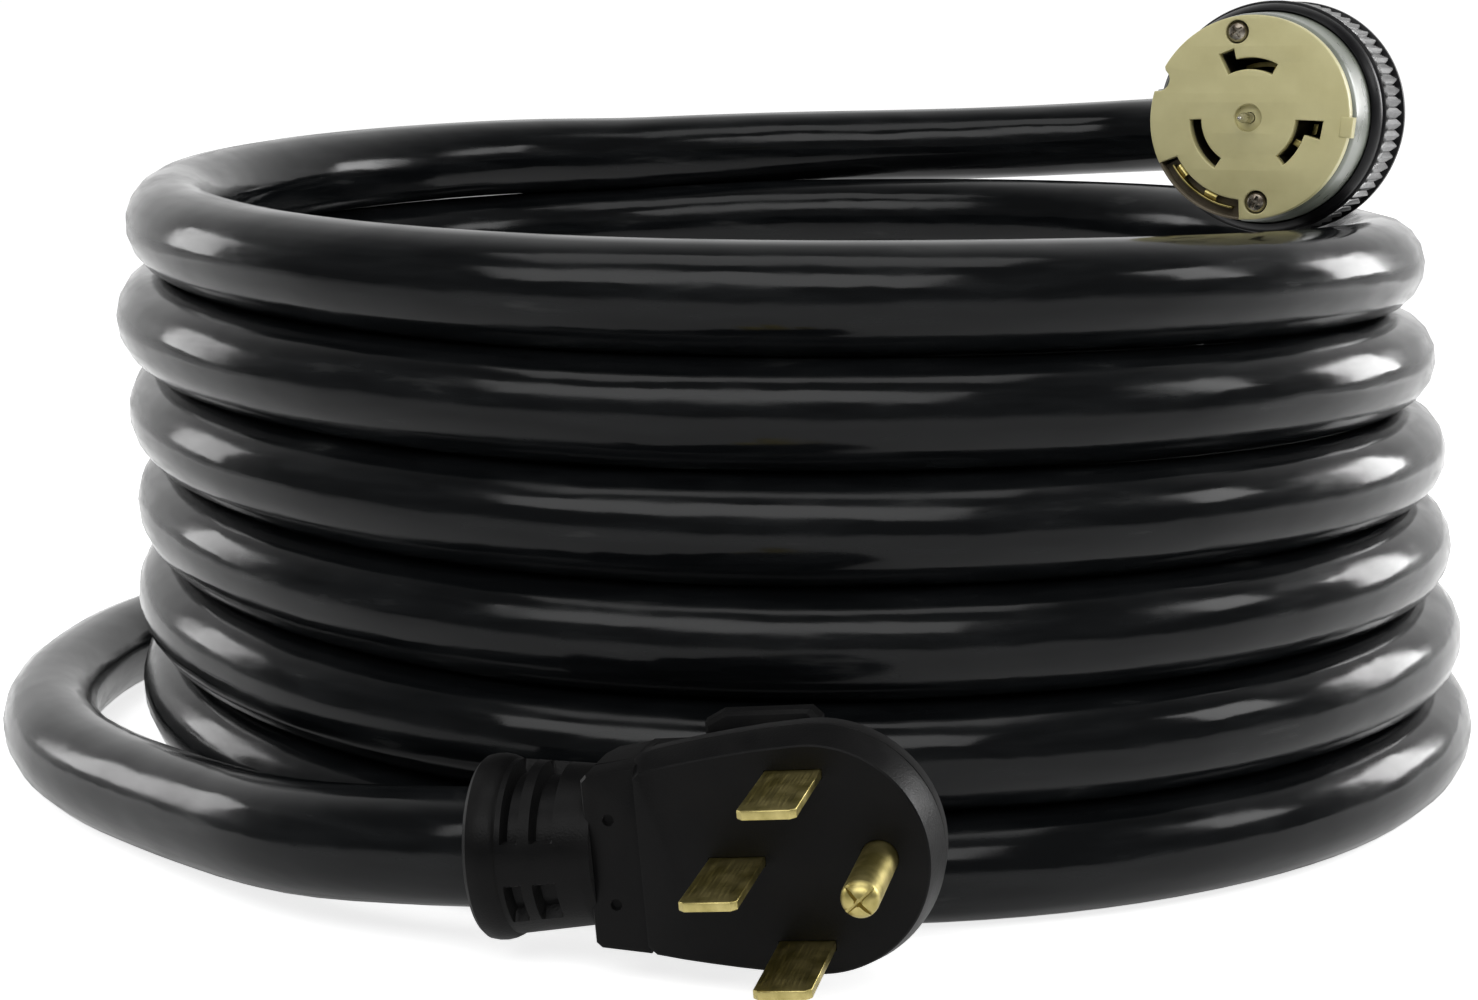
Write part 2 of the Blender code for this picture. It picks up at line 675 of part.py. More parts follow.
def make_body():
    """The black body: a smooth band, the grip ring and a tapered back."""
    seat = 0.0274 + GAP
    profile = [
        (seat, -BAND_FRONT), (0.0282, -BAND_FRONT), (0.0298, -BAND_FRONT - 0.0032),
        (KNURL_R, -KNURL_FRONT), (KNURL_R, -KNURL_BACK), (0.0310, -KNURL_BACK - 0.0006),
        (0.0310, -0.0416), (0.0290, -0.0428), (0.0273, -0.0500),
        (0.0245, -0.0620), (0.0214, -0.0770), (0.0198, -BODY_BACK + 0.0010), (0.0188, -BODY_BACK),
        (0.0152, -BODY_BACK), (0.0152, -0.0775), (0.0225, -0.0600), (0.0255, -0.0505),
        (0.0255, -SLEEVE_BACK - GAP), (seat, -SLEEVE_BACK - GAP),
    ]
    turned("connector_body", profile, "body_nylon", CONNECTOR, steps=48, closed=True)


def make_face_screws():
    """Two long screws that pull the face and the carrier into the body."""
    profile = [(0, 0.0004), (0.0020, 0.0004), (0.0026, -0.0004), (0.0026, -0.0020), (0.0016, -0.0034),
               (0.0016, -0.0440), (0, -0.0440)]
    for number, place in enumerate(SCREW_PLACES, 1):
        turned("connector_face_screw_%d" % number, profile, "steel", CONNECTOR, steps=20,
               location=(*place, 0))


def make_cord_clamp():
    """Two clamp halves and their screws behind the body, and the rubber grommet inside it."""
    front = BODY_BACK + GAP
    middle = -(front + CLAMP_BACK) / 2
    inner = CORD_R + GAP
    split = 0.0006
    screw_y = 0.0178
    seat = 0.0070
    screw = {"location": (0, 0, 0), "rotation": ALONG_X}
    bores = []
    for number, side in enumerate((1, -1), 1):
        screw["location"] = (0, side * screw_y, middle)
        profile = [(0, 0.030), (0.0032, 0.030), (0.0032, seat), (0.0019, seat), (0.0019, -0.030),
                   (0, -0.030)]
        bores.append(turned("cut_clamp_screw_%d" % number, profile, None, CONNECTOR, steps=16, **screw))
        under = seat + GAP
        top = under + 0.0022
        profile = [(0, top), (0.0028, top), (0.0028, under), (0.0016, under), (0.0016, -0.0080),
                   (0, -0.0080)]
        turned("connector_clamp_screw_%d" % number, profile, "steel", CONNECTOR, steps=16, **screw)
    outside = [(0.0070, 0.0220), (0.0110, 0.0180), (0.0152, 0.0090)]
    outside += [(x, -y) for x, y in reversed(outside)]
    meeting = math.acos(split / inner)
    for name, sign in (("right", 1), ("left", -1)):
        loop = [(split, 0.0220)] + outside + [(split, -0.0220)] + arc((0, 0), inner, -meeting, meeting, 16)
        loop = [(sign * x, y) for x, y in loop]
        half = as_mesh(deep_plate("connector_clamp_" + name, [loop], front, CLAMP_BACK, "body_nylon"))
        for bore in bores:
            boolean(half, bore)
    ring = [(inner, -0.0780), (0.0149, -0.0780), (0.0149, -BODY_BACK), (inner, -BODY_BACK)]
    turned("connector_grommet", ring, "grommet_rubber", CONNECTOR, steps=32, closed=True)


def make_connector_wires():
    """Conductors from the end of the cable to the contacts and the ground screw."""
    start = CABLE_END_Z + 2 * GAP
    end = -CONTACT_BACK - 2 * GAP
    routes = {
        "black": (clock(0.0062, 0), clock(CONTACT_R, 0)),
        "red": (clock(0.0062, 117), clock(CONTACT_R, 117)),
        "white": (clock(0.0062, -120), clock(CONTACT_R, -120)),
    }
    for colour, (low, high) in routes.items():
        points = [(*low, start), (*low, start + 0.005), (*high, end - 0.006), (*high, end)]
        tube("connector_wire_" + colour, points, WIRE_R, "wire_" + colour, CONNECTOR)
    ground = clock(0.0165, 180)
    low = clock(0.0080, 180)
    points = [(*low, start), (*low, start + 0.005), (*ground, end - 0.008), (*ground, end - 0.0012)]
    tube("connector_wire_green", points, WIRE_R, "wire_green", CONNECTOR)


# ---- assembly ------------------------------------------------------------------------------------

COIL = empty("coil_axis", (*COIL_CENTRE, 0))
PLUG = empty("plug_axis", PLUG_FACE, (0, -PLUG_ROLL, -PLUG_YAW), COIL)
CONNECTOR = empty("connector_axis", FACE_CENTRE, (math.pi / 2, 0, -CONNECTOR_YAW), COIL)

make_coil()
make_top_lead()
make_bottom_lead()

make_front_shell()
make_rear_cover()
make_strain_relief()
make_blade_carrier()
make_blades()
make_plug_wires()

make_face_insert()
make_contact_carrier()
make_contacts()
make_terminals()
make_front_sleeve()
make_body()
make_face_screws()
make_cord_clamp()
make_connector_wires()
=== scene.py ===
"""Looks of the coiled shore power cord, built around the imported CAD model.

The row's frame is in metres with +Z up. The coil, the plug and the connector each have their own axis
frame below, with the same values as the CAD model. Pieces of the plug and the connector are drawn in the
plane of their face: X to the right, Y up and Z out of the face, so that a depth is a negative Z.
"""

import math

import bmesh
import bpy
from mathutils import Euler, Matrix, Vector


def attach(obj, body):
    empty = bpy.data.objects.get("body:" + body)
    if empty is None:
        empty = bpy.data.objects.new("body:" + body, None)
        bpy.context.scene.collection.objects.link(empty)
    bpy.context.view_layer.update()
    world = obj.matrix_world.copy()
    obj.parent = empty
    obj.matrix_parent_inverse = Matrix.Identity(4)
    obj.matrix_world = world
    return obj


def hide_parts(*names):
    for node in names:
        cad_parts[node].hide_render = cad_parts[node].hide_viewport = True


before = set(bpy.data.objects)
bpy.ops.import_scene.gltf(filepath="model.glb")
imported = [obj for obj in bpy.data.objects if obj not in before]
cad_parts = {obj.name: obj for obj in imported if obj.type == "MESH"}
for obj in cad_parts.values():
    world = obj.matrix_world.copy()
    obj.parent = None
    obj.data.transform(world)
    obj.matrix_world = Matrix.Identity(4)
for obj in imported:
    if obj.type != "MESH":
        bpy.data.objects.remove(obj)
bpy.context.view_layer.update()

# ---- places, shared with the CAD model but for the four noted here -------------------------------

# The cable is 0.6 mm thicker, the connector's face has 0.3 mm less radius, and the turns' shifts at the
# left and right and the first two points of BOTTOM_ROUTE are only here.
CABLE_D = 0.0266
CABLE_R = CABLE_D / 2
CORD_R = 0.0130  # radius of the cable that the CAD model's spacing is made for
PITCH = 0.0263
GAP = 0.0003
TURNS = 6
COIL_R = 0.1749
COIL_GROWTH = 0.0019
COIL_LEAN = 0.00237
BACK_LIFT = 0.00085  # how much each turn rises at the back right, on those below it
LIFT_FROM, LIFT_TO = 0.25, 0.56  # the stretch of a turn that rises
LEFT_SHIFT = (-0.0017, 0.0023, 0.0, -0.0012, 0.0, 0.0)  # how far each turn stands out on the left
RIGHT_SHIFT = (0.0015, 0.0015, 0.0015, 0.0015, 0.0, 0.0)  # and on the right


def axis_frame(location, rotation=(0, 0, 0), parent=None):
    """Matrix from an assembly's own frame to the row's frame."""
    own = Matrix.Translation(location) @ Euler(rotation).to_matrix().to_4x4()
    return parent @ own if parent else own


def shifted(parent, x=0.0, y=0.0, z=0.0):
    return parent @ Matrix.Translation((x, y, z))


COIL = axis_frame((0.0072, 0.0332, 0))
PLUG = axis_frame((0.0052, -0.2360, 0.0318), (0, -math.radians(5.5), -math.radians(11.9)), COIL)
PLUG_FACE = PLUG @ Matrix.Rotation(math.pi / 2, 4, "X")
CONNECTOR = axis_frame((0.1230, -0.0941, 0.1855), (math.pi / 2, 0, -math.radians(28)), COIL)

TOP_ROUTE = (
    (0.1812, 0.0223, 0.1854),
    (0.1846, 0.0484, 0.1847),
    (0.1856, 0.0770, 0.1834),
    (0.1822, 0.1055, 0.1820),
    (0.1716, 0.1318, 0.1802),
    (0.1548, 0.1545, 0.1788),
    (0.1325, 0.1718, 0.1772),
    (0.1065, 0.1823, 0.1756),
    (0.0800, 0.1870, 0.1743),
    (0.0540, 0.1884, 0.1735),
    (0.0300, 0.1870, 0.1729),
    (0.0065, 0.1840, 0.1723),
    (-0.0230, 0.1775, 0.1712),
    (-0.0515, 0.1680, 0.1700),
)
BOTTOM_ROUTE = (
    (-0.0720, 0.1790, 0.0133),
    (-0.1300, 0.1550, 0.0133),
    (-0.1660, 0.1210, 0.0133),
    (-0.1930, 0.0820, 0.0133),
    (-0.2070, 0.0460, 0.0133),
    (-0.2120, 0.0110, 0.0133),
    (-0.2115, -0.0250, 0.0133),
    (-0.2035, -0.0600, 0.0133),
    (-0.1900, -0.0900, 0.0134),
    (-0.1730, -0.1150, 0.0138),
    (-0.1530, -0.1385, 0.0150),
    (-0.1350, -0.1590, 0.0168),
    (-0.1185, -0.1765, 0.0187),
    (-0.1030, -0.1885, 0.0206),
    (-0.0855, -0.1975, 0.0226),
)

# Plug: X runs from the neck to the round end, and depths are measured behind the face.
CORD_DEPTH = 0.0160  # depth of the cable's axis
COLLAR_X = -0.0738
NECK_X = -0.0470
SHELL_DEPTH = 0.0106
COVER_DEPTH = 0.0200
HUMP_DEPTH = 0.0312
GROUND_X = 0.0168
BLADES = {"hot_blade_x": (0, 0.0186), "hot_blade_y": (0, -0.0186), "neutral_blade": (-0.0136, 0)}

# Connector: depths are measured behind the face, and angles from its X.
FACE_R = 0.0262
NOTCH_R = 0.0211
NOTCH_FROM = math.radians(207)
NOTCH_TO = math.radians(266)
KEY_ANGLE = math.radians(158)
KEY_R = 0.0030
SCREW_PLACES = ((-0.0037, 0.0219), (0.0029, -0.0216))
CLAMP_FRONT = 0.0883
CLAMP_BACK = 0.1020
CLAMP_MIDDLE = -(CLAMP_FRONT + CLAMP_BACK) / 2
CLAMP_SCREW_Y = 0.0178

# Slots of the face: start, end and the end of the wide part, clockwise from the top, and its radius.
SLOT_IN = 0.0124
SLOT_OUT = 0.0154
SLOTS = ((-27, 28, -14, 0.0182), (92, 141, 106, 0.0196), (-147, -92, -147, SLOT_OUT))


# ---- materials -----------------------------------------------------------------------------------

class Surface:
    """A Principled material whose colour, roughness and relief come from noise in object space."""

    def __init__(self, name, roughness, metallic=0.0, coat=0.0, specular=0.5):
        self.material = bpy.data.materials.new(name)
        self.material.use_nodes = True
        self.nodes = self.material.node_tree.nodes
        self.links = self.material.node_tree.links
        self.shader = self.nodes["Principled BSDF"]
        self.shader.inputs["Roughness"].default_value = roughness
        self.shader.inputs["Metallic"].default_value = metallic
        self.shader.inputs["Coat Weight"].default_value = coat
        self.shader.inputs["Coat Roughness"].default_value = 0.12
        self.shader.inputs["Specular IOR Level"].default_value = specular
        self.place = self.nodes.new("ShaderNodeTexCoord").outputs["Object"]

    def noise(self, size, stretch=(1, 1, 1), detail=3.0):
        """Noise with features of the given size in metres, longer along an axis with a small stretch."""
        mapping = self.nodes.new("ShaderNodeMapping")
        mapping.inputs["Scale"].default_value = [s / size for s in stretch]
        self.links.new(self.place, mapping.inputs["Vector"])
        texture = self.nodes.new("ShaderNodeTexNoise")
        texture.inputs["Scale"].default_value = 1.0
        texture.inputs["Detail"].default_value = detail
        self.links.new(mapping.outputs["Vector"], texture.inputs["Vector"])
        return texture.outputs["Fac"]

    def ramp(self, value, low, high, from_low=0.3, from_high=0.7):
        """Spread a noise value from one number to another."""
        spread = self.nodes.new("ShaderNodeMapRange")
        spread.inputs["From Min"].default_value = from_low
        spread.inputs["From Max"].default_value = from_high
        spread.inputs["To Min"].default_value = low
        spread.inputs["To Max"].default_value = high
        self.links.new(value, spread.inputs["Value"])
        return spread.outputs["Result"]

    def colours(self, value, *stops):
        """Colour by a noise value, from (place, colour) stops."""
        ramp = self.nodes.new("ShaderNodeValToRGB")
        elements = ramp.color_ramp.elements
        elements[0].position, elements[0].color = stops[0][0], (*stops[0][1], 1)
        elements[1].position, elements[1].color = stops[-1][0], (*stops[-1][1], 1)
        for place, colour in stops[1:-1]:
            elements.new(place).color = (*colour, 1)
        self.links.new(value, ramp.inputs["Fac"])
        self.links.new(ramp.outputs["Color"], self.shader.inputs["Base Color"])
        return self

    def rough(self, value, low, high, from_low=0.3, from_high=0.7):
        self.links.new(self.ramp(value, low, high, from_low, from_high), self.shader.inputs["Roughness"])
        return self

    def relief(self, *layers):
        """Bumps from (noise value, height in metres, strength) layers, each on the one before."""
        normal = None
        for value, height, strength in layers:
            bump = self.nodes.new("ShaderNodeBump")
            bump.inputs["Distance"].default_value = height
            bump.inputs["Strength"].default_value = strength
            self.links.new(value, bump.inputs["Height"])
            if normal:
                self.links.new(normal, bump.inputs["Normal"])
            normal = bump.outputs["Normal"]
        self.links.new(normal, self.shader.inputs["Normal"])
        return self


def cable_jacket():
    """Glossy black jacket: long shallow waves from extrusion, scuffs along it and a fine skin."""
    s = Surface("cable_jacket", 0.20, specular=0.24)
    scuffs = s.noise(0.030, (1, 1, 7), 6.0)
    s.colours(scuffs, (0.40, (0.0035, 0.0040, 0.0045)), (0.64, (0.0070, 0.0078, 0.0085)),
              (0.76, (0.024, 0.025, 0.025)))
    s.rough(scuffs, 0.11, 0.27, 0.40, 0.74)
    return s.relief((s.noise(0.050, (1, 1, 2.2), 1.5), 0.0040, 0.28),
                    (s.noise(0.0110, (0.5, 0.5, 1.5), 2.0), 0.0008, 0.22),
                    (s.noise(0.0006, detail=2.0), 0.00003, 0.2))


def grained(name, dark, light, rough, grain=0.0005, specular=0.30, sheen=0.0):
    """Moulded plastic with a fine spark-eroded grain. Sheen makes it catch light at low angles."""
    s = Surface(name, rough[0], specular=specular)
    s.shader.inputs["Sheen Weight"].default_value = sheen
    s.shader.inputs["Sheen Roughness"].default_value = 0.35
    patches = s.noise(0.009, detail=5.0)
    s.colours(patches, (0.30, dark), (0.72, light))
    s.rough(patches, rough[0], rough[1])
    return s.relief((s.noise(0.012, detail=2.0), 0.0004, 0.15), (s.noise(grain, detail=2.0), 0.00008, 0.75))


def glossy(name, dark, light, rough, coat=0.0, specular=0.5):
    """Smooth moulded plastic with faint flow marks and fine scratches."""
    s = Surface(name, rough[0], coat=coat, specular=specular)
    flow = s.noise(0.010, (1, 1, 2), 5.0)
    s.colours(flow, (0.28, dark), (0.72, light))
    s.rough(flow, rough[0], rough[1])
    return s.relief((s.noise(0.008, detail=2.0), 0.00030, 0.20),
                    (s.noise(0.0012, (0.3, 2.5, 1), 4.0), 0.00003, 0.30))


def brushed(name, dark, light, rough):
    """Metal with fine lines along its own Y axis, slight tarnish and small dents."""
    s = Surface(name, rough[0], metallic=1.0)
    tarnish = s.noise(0.007, detail=6.0)
    lines = s.noise(0.0016, (5, 0.12, 5), 4.0)
    s.colours(tarnish, (0.38, dark), (0.60, light))
    s.rough(lines, rough[0], rough[1])
    return s.relief((s.noise(0.006, detail=3.0), 0.00020, 0.25), (lines, 0.00003, 0.20))


CABLE = cable_jacket().material
PLUG_BLACK = grained("plug_black", (0.0034, 0.0034, 0.0036), (0.0062, 0.0060, 0.0060), (0.34, 0.48),
                     specular=0.12, sheen=0.06).material
INNER_BLACK = grained("inner_black", (0.030, 0.030, 0.032), (0.050, 0.050, 0.052), (0.5, 0.65)).material
GROMMET = grained("grommet_black", (0.014, 0.014, 0.014), (0.030, 0.030, 0.030), (0.6, 0.8), 0.0009).material
BRASS = brushed("brushed_brass", (0.36, 0.30, 0.090), (0.68, 0.58, 0.24), (0.30, 0.46)).material
NICKEL = brushed("dull_nickel", (0.16, 0.13, 0.10), (0.52, 0.48, 0.41), (0.22, 0.42)).material
PLATED = brushed("plated_steel", (0.42, 0.41, 0.39), (0.72, 0.71, 0.69), (0.14, 0.30)).material
CREAM = glossy("cream_nylon", (0.58, 0.53, 0.27), (0.67, 0.62, 0.33), (0.30, 0.44)).material
GREY_WHITE = glossy("grey_white_nylon", (0.16, 0.175, 0.145), (0.21, 0.23, 0.19), (0.24, 0.36), 0.1).material
BODY_BLACK = glossy("body_black", (0.0050, 0.0050, 0.0056), (0.0100, 0.0100, 0.0112), (0.26, 0.38),
                    specular=0.14).material
GRIP_BLACK = grained("grip_black", (0.012, 0.012, 0.012), (0.034, 0.034, 0.034), (0.26, 0.42),
                     specular=0.65).material
# Near-black contact carrier: painted shade that darkens the slots behind the face, where shade falls.
PAINTED_SHADE_CARRIER = glossy("carrier_painted_shade", (0.016, 0.013, 0.006), (0.034, 0.028, 0.014), (0.4, 0.6)).material
RECESS = glossy("recess_brown", (0.13, 0.105, 0.070), (0.22, 0.185, 0.130), (0.25, 0.42)).material
WIRES = {
    "black": glossy("wire_black", (0.010, 0.010, 0.010), (0.022, 0.022, 0.022), (0.35, 0.5)).material,
    "red": glossy("wire_red", (0.42, 0.020, 0.012), (0.58, 0.035, 0.022), (0.35, 0.5)).material,
    "white": glossy("wire_white", (0.66, 0.66, 0.62), (0.82, 0.82, 0.79), (0.35, 0.5)).material,
    "green": glossy("wire_green", (0.02, 0.24, 0.06), (0.04, 0.36, 0.10), (0.35, 0.5)).material,
}


# ---- mesh makers ---------------------------------------------------------------------------------

def finish_piece(obj, slot, *nodes):
    """Attach a new piece to the root body and hide the CAD nodes that it stands for; slot is not used."""
    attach(obj, "root")
    if nodes:
        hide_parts(*nodes)
    return obj


def add_mesh(name, vertices, faces, material, place, sharp=30):
    """A mesh object with outward normals, smooth but for its sharp edges."""
    bm = bmesh.new()
    points = [bm.verts.new(v) for v in vertices]
    for face in faces:
        bm.faces.new([points[i] for i in face])
    bmesh.ops.remove_doubles(bm, verts=bm.verts, dist=0.000001)
    bmesh.ops.recalc_face_normals(bm, faces=bm.faces)
    mesh = bpy.data.meshes.new(name)
    bm.to_mesh(mesh)
    bm.free()
    mesh.materials.append(material)
    mesh.shade_smooth()
    mesh.set_sharp_from_angle(angle=math.radians(sharp))
    obj = bpy.data.objects.new(name, mesh)
    obj.matrix_world = place
    bpy.context.scene.collection.objects.link(obj)
    return obj


def dense(profile, step):
    """The same profile with long segments divided."""
    points = []
    for a, b in zip(profile, profile[1:]):
        count = max(1, math.ceil(math.dist(a, b) / step))
        points += [(a[0] + (b[0] - a[0]) * i / count, a[1] + (b[1] - a[1]) * i / count) for i in range(count)]
    return points + [profile[-1]]


def turned(name, profile, material, place, steps=96, carve=None, closed=True, sharp=30):
    """Revolve a (radius, height) outline about Z. carve changes a radius by its angle and height."""
    vertices, faces = [], []
    for step in range(steps):
        angle = 2 * math.pi * step / steps
        for radius, height in profile:
            if carve:
                radius = carve(radius, height, angle)
            vertices.append((radius * math.cos(angle), radius * math.sin(angle), height))
    count = len(profile)
    for step in range(steps):
        here, there = step * count, (step + 1) % steps * count
        for i in range(count if closed else count - 1):
            j = (i + 1) % count
            ends = [here + i, here + j, there + j, there + i]
            if profile[i][0] < 1e-7:
                ends.remove(there + i)
            if profile[j][0] < 1e-7:
                ends.remove(there + j)
            if len(ends) > 2:
                faces.append(ends)
    return add_mesh(name, vertices, faces, material, place, sharp)


def loft(name, rings, material, place, sharp=30):
    """Skin over rings of equally many points, closed by its first and last ring."""
    vertices = [p for ring in rings for p in ring]
    count = len(rings[0])
    faces = [list(range(count)), list(range(len(vertices) - count, len(vertices)))]
    for row in range(len(rings) - 1):
        for i in range(count):
            j = (i + 1) % count
            faces.append([row * count + i, row * count + j, (row + 1) * count + j, (row + 1) * count + i])
    return add_mesh(name, vertices, faces, material, place, sharp)


def slab(name, loops, front, back, bevel, material, place):
    """A flat piece between two depths, with rounded edges and with holes where loops follow the first."""
    curve = bpy.data.curves.new(name, "CURVE")
    curve.dimensions = "2D"
    curve.fill_mode = "BOTH"
    curve.extrude = (back - front) / 2 - bevel
    curve.bevel_depth = bevel
    curve.bevel_resolution = 2
    curve.offset = -bevel
    for loop in loops:
        spline = curve.splines.new("POLY")
        spline.points.add(len(loop) - 1)
        for point, (x, y) in zip(spline.points, loop):
            point.co = (x, y, 0, 1)
        spline.use_cyclic_u = True
    obj = bpy.data.objects.new(name, curve)
    bpy.context.scene.collection.objects.link(obj)
    bpy.context.view_layer.update()
    mesh = bpy.data.meshes.new_from_object(obj.evaluated_get(bpy.context.evaluated_depsgraph_get()))
    bpy.data.objects.remove(obj, do_unlink=True)
    vertices = [v.co + Vector((0, 0, -(front + back) / 2)) for v in mesh.vertices]
    faces = [list(p.vertices) for p in mesh.polygons]
    return add_mesh(name, vertices, faces, material, place, 40)


def block(name, low, high, bevel, material, place):
    """A block between two corners, in the face's frame, with rounded edges."""
    loop = [(low[0], low[1]), (high[0], low[1]), (high[0], high[1]), (low[0], high[1])]
    return slab(name, [loop], -high[2], -low[2], bevel, material, place)


def merged(target, *others):
    """Join other pieces' meshes into the target's, all in its material, and remove them."""
    bm = bmesh.new()
    bm.from_mesh(target.data)
    for other in others:
        mesh = other.data.copy()
        mesh.transform(target.matrix_world.inverted() @ other.matrix_world)
        bm.from_mesh(mesh)
        bpy.data.objects.remove(other, do_unlink=True)
    bm.to_mesh(target.data)
    bm.free()
    return target


def cut(target, *cutters):
    """Take the cutters out of the target's mesh, and remove them."""
    for cutter in cutters:
        modifier = target.modifiers.new("cut", "BOOLEAN")
        modifier.operation = "DIFFERENCE"
        modifier.solver = "EXACT"
        modifier.object = cutter
    bpy.context.view_layer.update()
    mesh = bpy.data.meshes.new_from_object(target.evaluated_get(bpy.context.evaluated_depsgraph_get()))
    target.modifiers.clear()
    target.data = mesh
    for cutter in cutters:
        bpy.data.objects.remove(cutter, do_unlink=True)
    mesh.shade_smooth()
    mesh.set_sharp_from_angle(angle=math.radians(30))
    return target


def circle(centre, radius, count):
    angles = [2 * math.pi * i / count for i in range(count)]
    return [(centre[0] + radius * math.cos(a), centre[1] + radius * math.sin(a)) for a in angles]


def mirrored(upper):
    """An outline's upper half and its mirror image below, in one run."""
    return upper + [(x, -y) for x, y in reversed(upper)]


def behind(outline, depth):
    """An outline as a ring at a depth behind the face."""
    return [(x, y, -depth) for x, y in outline]


def clock(radius, degrees):
    """A point of the connector's face, by its angle clockwise from the top."""
    angle = math.radians(90 - degrees)
    return (radius * math.cos(angle), radius * math.sin(angle))


# ---- cable ---------------------------------------------------------------------------------------

def coil_point(turn):
    """Centre of the cable at a place in the stack, counted in turns from the front of the top one."""
    whole = math.floor(turn + 1e-9)
    part = turn - whole
    drop = 0.0
    if part > 0.5:
        drop = (1 - math.cos(2 * math.pi * (part - 0.5))) / 2
    angle = 2 * math.pi * part
    side = math.sin(angle)
    number = min(whole, TURNS - 1)
    stand = side * side * (RIGHT_SHIFT[number] if side > 0 else LEFT_SHIFT[number])
    radius = COIL_R + COIL_GROWTH * (turn - 1) + stand
    x = COIL_LEAN * (turn - 1) + radius * side
    y = -radius * math.cos(angle)
    lift = 0.0
    if LIFT_FROM < part < LIFT_TO:
        lift = BACK_LIFT * (TURNS - turn) * math.sin(math.pi * (part - LIFT_FROM) / (LIFT_TO - LIFT_FROM))
    return Vector((x, y, CORD_R + GAP + PITCH * (TURNS - whole - drop) + max(0.0, lift)))


def smooth_curve(points, step):
    """Even points on the Catmull-Rom curve through the given points."""
    points = [Vector(p) for p in points]
    ends = [2 * points[0] - points[1]] + points + [2 * points[-1] - points[-2]]
    fine = [points[0]]
    for a, b, c, d in zip(ends, ends[1:], ends[2:], ends[3:]):
        for i in range(1, 17):
            t = i / 16
            fine.append(0.5 * (2 * b + (c - a) * t + (2 * a - 5 * b + 4 * c - d) * t ** 2
                               + (3 * b - a - 3 * c + d) * t ** 3))
    lengths = [0.0]
    for a, b in zip(fine, fine[1:]):
        lengths.append(lengths[-1] + (b - a).length)
    count = max(2, round(lengths[-1] / step))
    even = []
    k = 1
    for i in range(count + 1):
        target = lengths[-1] * i / count
        while lengths[k] < target - 1e-9:
            k += 1
        share = (target - lengths[k - 1]) / (lengths[k] - lengths[k - 1])
        even.append(fine[k - 1].lerp(fine[k], share))
    return even


def cable_route():
    """The cable's centreline, from inside the connector's clamp to inside the plug's neck."""
    out_of_connector = [CONNECTOR @ Vector((0, 0, z)) for z in (-0.0900, -0.0980, -0.1040)]
    into_plug = [PLUG @ Vector((x, CORD_DEPTH, 0)) for x in (COLLAR_X - 0.0040, -0.0620, NECK_X - 0.0010)]
    first, last = 14 / 24, 6.5  # places in the stack where the leads leave it
    coil = [COIL @ coil_point(first + i / 24) for i in range(round((last - first) * 24) + 1)]
    top = [COIL @ Vector(p) for p in TOP_ROUTE]
    bottom = [COIL @ Vector(p) for p in BOTTOM_ROUTE]
    return smooth_curve(out_of_connector + top + coil + bottom + into_plug, 0.010)


def make_cable():
    curve = bpy.data.curves.new("cable", "CURVE")
    curve.dimensions = "3D"
    curve.bevel_depth = CABLE_R
    curve.bevel_resolution = 7
    curve.use_fill_caps = True
    points = cable_route()
    spline = curve.splines.new("POLY")
    spline.points.add(len(points) - 1)
    for point, place in zip(spline.points, points):
        point.co = (*place, 1)
    curve.materials.append(CABLE)
    cable = bpy.data.objects.new("cable", curve)
    bpy.context.scene.collection.objects.link(cable)
    finish_piece(cable, "cable_rubber", "cable_coil", "cable_top_lead", "cable_bottom_lead")
    return cable, sum((b - a).length for a, b in zip(points, points[1:]))


# ---- plug ----------------------------------------------------------------------------------------

END_R = 0.0270
END_X = 0.0026
SHOULDERS = ((-0.0080, 0.0262), (-0.0150, 0.0253), (-0.0210, 0.0244), (-0.0270, 0.0234), (-0.0330, 0.0222))
FACE_END = -0.0368  # where the raised face ends and the neck begins
FACE_END_HALF = 0.0215
NECK_HALF = 0.0193
BLADE_REACH = 0.0290
BLADE_TAIL = 0.0150

# Slots of the cable relief: middle and half width along the cable, and middle and half length in
# degrees from the front upwards.
SLOT_ROWS = ((-0.0630, 0.0019), (-0.0560, 0.0024))
SLOT_ARCS = ((61, 43), (-27, 15), (-151, 15))
SLOT_SINK = 0.0030


def plug_ring(inset, depth):
    """The plug's outline at a depth: a round end, sides that close in, and a straight left end."""
    radius = END_R - inset
    points = [(END_X + radius * math.cos(a), radius * math.sin(a))
              for a in (math.radians(-95 + 190 * i / 56) for i in range(57))]
    upper = [(x, half - inset) for x, half in SHOULDERS]
    corner = 0.0011
    upper.append((FACE_END + inset + corner, FACE_END_HALF - inset))
    upper.append((FACE_END + inset, FACE_END_HALF - corner - inset))
    return behind(points + mirrored(upper), depth)


def neck_ring(inset, depth):
    """The neck's outline at a depth, narrowing away from the face."""
    end, half = NECK_X + inset, NECK_HALF - inset
    corner = 0.0012
    upper = [(FACE_END + 0.0020, 0.0208 - inset), (end + corner, half), (end, half - corner)]
    return behind(mirrored(upper), depth)


def hump_ring(depth, end, half):
    """The hump's outline at a depth, from the end of the face to where its slope has come."""
    corner = 0.0030
    return behind(mirrored([(FACE_END, half), (end - corner, half), (end, half - corner)]), depth)


def grip_ring(depth, inset):
    """The finger grip's outline at a depth, across the hump."""
    corner = 0.0022
    left, right, half = -0.0245 + inset, 0.0020 - inset, 0.0264 - inset
    upper = [(right, half - corner), (right - corner, half), (left + 2 * corner, half), (left, half - corner)]
    return behind(mirrored(upper), depth)


